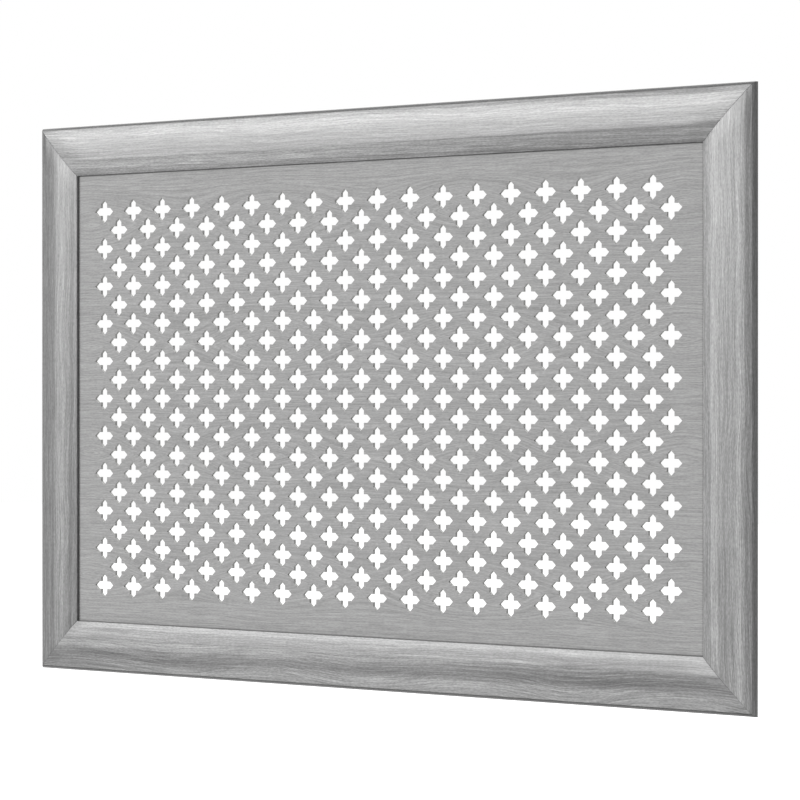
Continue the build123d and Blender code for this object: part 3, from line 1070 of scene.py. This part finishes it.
def floor_material(settings):
    """Pale matt floor that looks white, with what falls on it added for the same rays."""
    material = bpy.data.materials.new("studio_floor")
    tree = empty_tree(material)
    matt = add(tree, "ShaderNodeBsdfDiffuse", Color=(*settings.floor_tint, 1.0))
    away = add(tree, "ShaderNodeVectorMath", {"operation": "LENGTH"})
    connect(object_place(tree), away.inputs[0])
    distance = Value(away.outputs["Value"])
    lift = distance.spread(settings.near, settings.far, settings.floor_lift, 1.0)
    glow = add(tree, "ShaderNodeEmission", Color=WHITE, Strength=lift * white_share(tree))
    both = add(tree, "ShaderNodeAddShader")
    connect(matt.outputs[0], both.inputs[0])
    connect(glow.outputs[0], both.inputs[1])
    add(tree, "ShaderNodeOutputMaterial", Surface=both.outputs[0])
    return material


def make_floor(settings):
    """A square floor well below the screen."""
    half = settings.floor_size / 2
    height = -HALF_HEIGHT - settings.floor_drop
    corners = np.array([(-half, -half), (half, -half), (half, half), (-half, half)])
    points = np.column_stack([corners, np.full(4, height)])
    floor = make_piece("studio_floor", points, np.arange(4), [floor_material(settings)])


def make_world(settings):
    """White to the eye and in reflections, and a weaker light from all round."""
    world = bpy.data.worlds.new("studio")
    bpy.context.scene.world = world
    tree = empty_tree(world)
    strength = white_share(tree).spread(0.0, 1.0, settings.ambient, 1.0)
    light = add(tree, "ShaderNodeBackground", Color=WHITE, Strength=strength)
    add(tree, "ShaderNodeOutputWorld", Surface=light.outputs[0])


def make_lamp(name, azimuth, elevation, distance, width, height, power):
    """A soft lamp turned to the screen, placed by its angles from the front and the floor."""
    data = bpy.data.lights.new(name, "AREA")
    data.shape = "RECTANGLE"
    data.size = width
    data.size_y = height
    data.energy = power
    lamp = bpy.data.objects.new(name, data)
    bpy.context.scene.collection.objects.link(lamp)
    level_share = cos(elevation)
    way = Vector((sin(azimuth) * level_share, -cos(azimuth) * level_share, sin(elevation)))
    lamp.location = way * distance
    lamp.rotation_euler = way.to_track_quat("Z", "Y").to_euler()
    lamp.visible_camera = False


def make_camera(settings):
    """The camera at the photograph's viewing angle."""
    data = bpy.data.cameras.new("camera")
    data.sensor_fit = "HORIZONTAL"
    data.lens = settings.camera_lens
    camera = bpy.data.objects.new("camera", data)
    bpy.context.scene.collection.objects.link(camera)
    camera.location = settings.camera_place
    camera.rotation_euler = (pi / 2 - settings.camera_drop, 0.0, settings.camera_turn)
    bpy.context.scene.camera = camera


# Operators


class RADIATOR_OT_stage(bpy.types.Operator):
    """Makes the camera, the lamps, the surroundings and the floor"""

    bl_idname = "radiator.stage"
    bl_label = "Stage"

    def execute(self, context):
        settings = context.scene.radiator_screen.stage
        context.scene.view_settings.view_transform = "Standard"
        make_camera(settings)
        make_world(settings)
        make_floor(settings)
        key_place = (settings.key_azimuth, settings.key_elevation, settings.key_distance)
        key_size = (settings.key_width, settings.key_height)
        make_lamp("key_lamp", *key_place, *key_size, settings.key_power)
        rear_place = (pi, settings.rear_elevation, settings.rear_distance)
        rear_size = (settings.rear_size, settings.rear_size)
        make_lamp("rear_lamp", *rear_place, *rear_size, settings.rear_power)
        return {"FINISHED"}


class RADIATOR_OT_film(bpy.types.Operator):
    """Wraps the four sides of the moulding in printed film"""

    bl_idname = "radiator.film"
    bl_label = "Moulding Film"

    def execute(self, context):
        settings = context.scene.radiator_screen.moulding
        for name in SIDES:
            film_strip(name, settings, film_material(settings, name))
        return {"FINISHED"}


class RADIATOR_OT_board(bpy.types.Operator):
    """Makes the perforated board with its printed front"""

    bl_idname = "radiator.board"
    bl_label = "Perforated Board"

    def execute(self, context):
        settings = context.scene.radiator_screen.board
        materials = [
            print_material(settings),
            fibre_material("board_cut_edge", settings.cut_tint, contrast=0.12, grain=0.6 * MM),
            fibre_material("board_back", settings.back_tint, contrast=0.10, grain=0.9 * MM),
        ]
        board_piece(settings, materials)
        return {"FINISHED"}


class RADIATOR_OT_cores(bpy.types.Operator):
    """Finishes the fibreboard bodies of the moulding"""

    bl_idname = "radiator.cores"
    bl_label = "Moulding Cores"

    def execute(self, context):
        settings = context.scene.radiator_screen.hardware
        material = core_material(settings)
        for name in SIDES:
            recolour(f"{name}_core", material)
        return {"FINISHED"}


class RADIATOR_OT_hangers(bpy.types.Operator):
    """Finishes the keyhole hangers and their screws"""

    bl_idname = "radiator.hangers"
    bl_label = "Hangers and Screws"

    def execute(self, context):
        settings = context.scene.radiator_screen.hardware
        zinc = (settings.zinc_tint, settings.zinc_roughness)
        plates = metal_material("zinc_plate", *zinc, grain=4 * MM)
        screws = metal_material("zinc_screw", *zinc, grain=1 * MM)
        for name in HANGERS:
            recolour(name, plates)
        recolour("hanger_screws", screws)
        return {"FINISHED"}


class RADIATOR_OT_nails(bpy.types.Operator):
    """Finishes the corner nails and the framing points"""

    bl_idname = "radiator.nails"
    bl_label = "Nails and Points"

    def execute(self, context):
        settings = context.scene.radiator_screen.hardware
        steel = (settings.steel_tint, settings.steel_roughness)
        material = metal_material("bare_steel", *steel, grain=2 * MM)
        recolour("corner_v_nails", material)
        recolour("panel_points", material)
        return {"FINISHED"}


OPERATORS = (
    RADIATOR_OT_stage,
    RADIATOR_OT_film,
    RADIATOR_OT_board,
    RADIATOR_OT_cores,
    RADIATOR_OT_hangers,
    RADIATOR_OT_nails,
)


class RADIATOR_PT_screen(bpy.types.Panel):
    """Lists the steps that make the radiator screen"""

    bl_idname = "RADIATOR_PT_screen"
    bl_label = "Radiator Screen"
    bl_space_type = "VIEW_3D"
    bl_region_type = "UI"
    bl_category = "Radiator Screen"

    def draw(self, context):
        for operator in OPERATORS:
            self.layout.operator(operator.bl_idname)


CLASSES = (
    MouldingSettings,
    BoardSettings,
    HardwareSettings,
    StageSettings,
    ScreenSettings,
    *OPERATORS,
    RADIATOR_PT_screen,
)


def register():
    """Registers the settings, the operators and the panel."""
    for kind in CLASSES:
        bpy.utils.register_class(kind)
    bpy.types.Scene.radiator_screen = PointerProperty(type=ScreenSettings)


def unregister():
    """Takes back what register did."""
    del bpy.types.Scene.radiator_screen
    for kind in reversed(CLASSES):
        bpy.utils.unregister_class(kind)


def main():
    """Makes the whole screen, one operator after the other."""
    register()
    bpy.ops.radiator.stage()
    bpy.ops.radiator.film()
    bpy.ops.radiator.board()
    bpy.ops.radiator.cores()
    bpy.ops.radiator.hangers()
    bpy.ops.radiator.nails()


if __name__ == "__main__":
    main()
